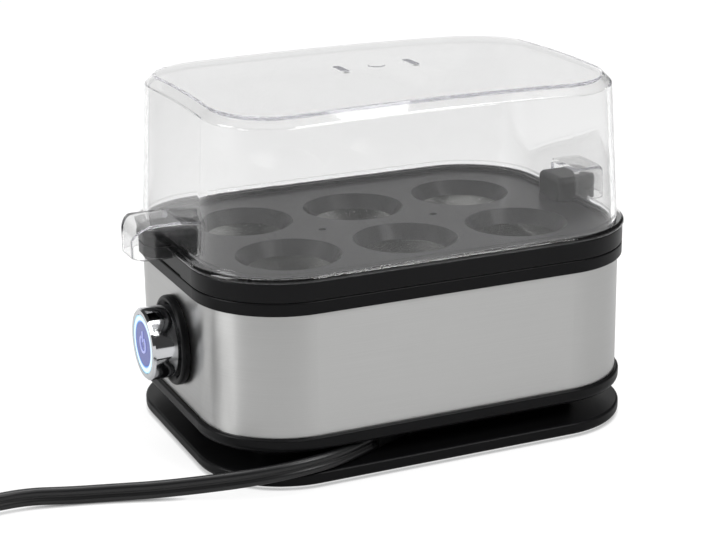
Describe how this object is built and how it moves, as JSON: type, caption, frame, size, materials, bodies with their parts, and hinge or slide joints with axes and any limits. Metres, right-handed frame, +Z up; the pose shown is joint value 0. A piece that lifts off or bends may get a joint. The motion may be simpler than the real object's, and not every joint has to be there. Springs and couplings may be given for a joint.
{
  "type": "egg cooker",
  "caption": "Electric egg cooker: clear domed lid and seated tray lift off a brushed steel body with a heated water dish, lit push button, cord wrap and flat cord with plug.",
  "frame": {"origin": "under the middle of the base, on the plane that the rubber feet stand on", "axes": "+Z up, X along the long side with the push button on the -X end, -Y the long side the cord leaves by"},
  "size_m": [0.436, 0.1342, 0.1429],
  "materials": {
    "black_plastic": "satin",
    "tray_plastic": "satin",
    "clear_plastic": "clear, polished",
    "brushed_steel": "brushed along the long side",
    "dish_steel": "satin",
    "rubber": "matte",
    "screw_steel": "zinc plated",
    "silicone": "matte",
    "cast_aluminium": "cast",
    "element_steel": "oxidised",
    "ceramic": "unglazed",
    "thermostat_black": "moulded",
    "chrome": "polished",
    "light_plastic": "translucent, lit",
    "disc_plastic": "glossy",
    "icon_plastic": "translucent, lit",
    "spring_steel": "drawn wire",
    "board_green": "lacquered",
    "lamp_clear": "clear",
    "switch_plastic": "moulded",
    "white_plastic": "moulded",
    "wire_insulation": "sleeved",
    "cord_rubber": "matte",
    "brass": "plated"
  },
  "bodies": {
    "housing": {"base_plate": "black_plastic", "rubber_feet": "rubber", "base_screws": "screw_steel", "lower_housing": "black_plastic", "housing_screws": "screw_steel", "body_collar": "black_plastic", "steel_sleeve": "brushed_steel", "dish_seal": "silicone", "water_dish": "dish_steel", "heat_spreader": "cast_aluminium", "heating_element": "element_steel", "element_terminals": "ceramic", "thermostat": "thermostat_black", "thermal_fuse": "ceramic", "fuse_clip": "screw_steel", "spreader_screws": "screw_steel", "button_bezel": "black_plastic", "bezel_nut": "switch_plastic", "button_spring": "spring_steel", "lamp_board": "board_green", "lamps": "lamp_clear", "switch_body": "switch_plastic", "switch_holder": "switch_plastic", "holder_screws": "screw_steel", "terminal_block": "white_plastic", "mains_cores": "wire_insulation", "live_lead": "wire_insulation", "switch_lead": "wire_insulation", "fuse_lead": "wire_insulation", "element_lead": "wire_insulation", "neutral_lead": "wire_insulation", "cord_gland": "cord_rubber", "power_cord": "cord_rubber", "cord_coil": "cord_rubber", "cord_tie": "black_plastic", "plug_body": "cord_rubber", "plug_pins": "brass"},
    "tray": {"egg_tray": "tray_plastic"},
    "lid": {"lid": "clear_plastic"},
    "button": {"button_cap": "chrome", "light_ring": "light_plastic", "button_disc": "disc_plastic", "power_symbol": "icon_plastic", "button_carrier": "switch_plastic", "switch_plunger": "white_plastic"}
  },
  "joints": [
    {"name": "tray_lift", "type": "slide", "parent": "housing", "child": "tray", "axis": [0, 0, 1], "range_m": [0, 0.06]},
    {"name": "lid_lift", "type": "slide", "parent": "tray", "child": "lid", "axis": [0, 0, 1], "range_m": [0, 0.07]},
    {"name": "button_press", "type": "slide", "parent": "housing", "child": "button", "axis": [1, 0, 0], "range_m": [0, 0.003], "stiffness_N_per_m": 400, "springref_m": -0.004, "deforming": ["button_spring"]}
  ]
}
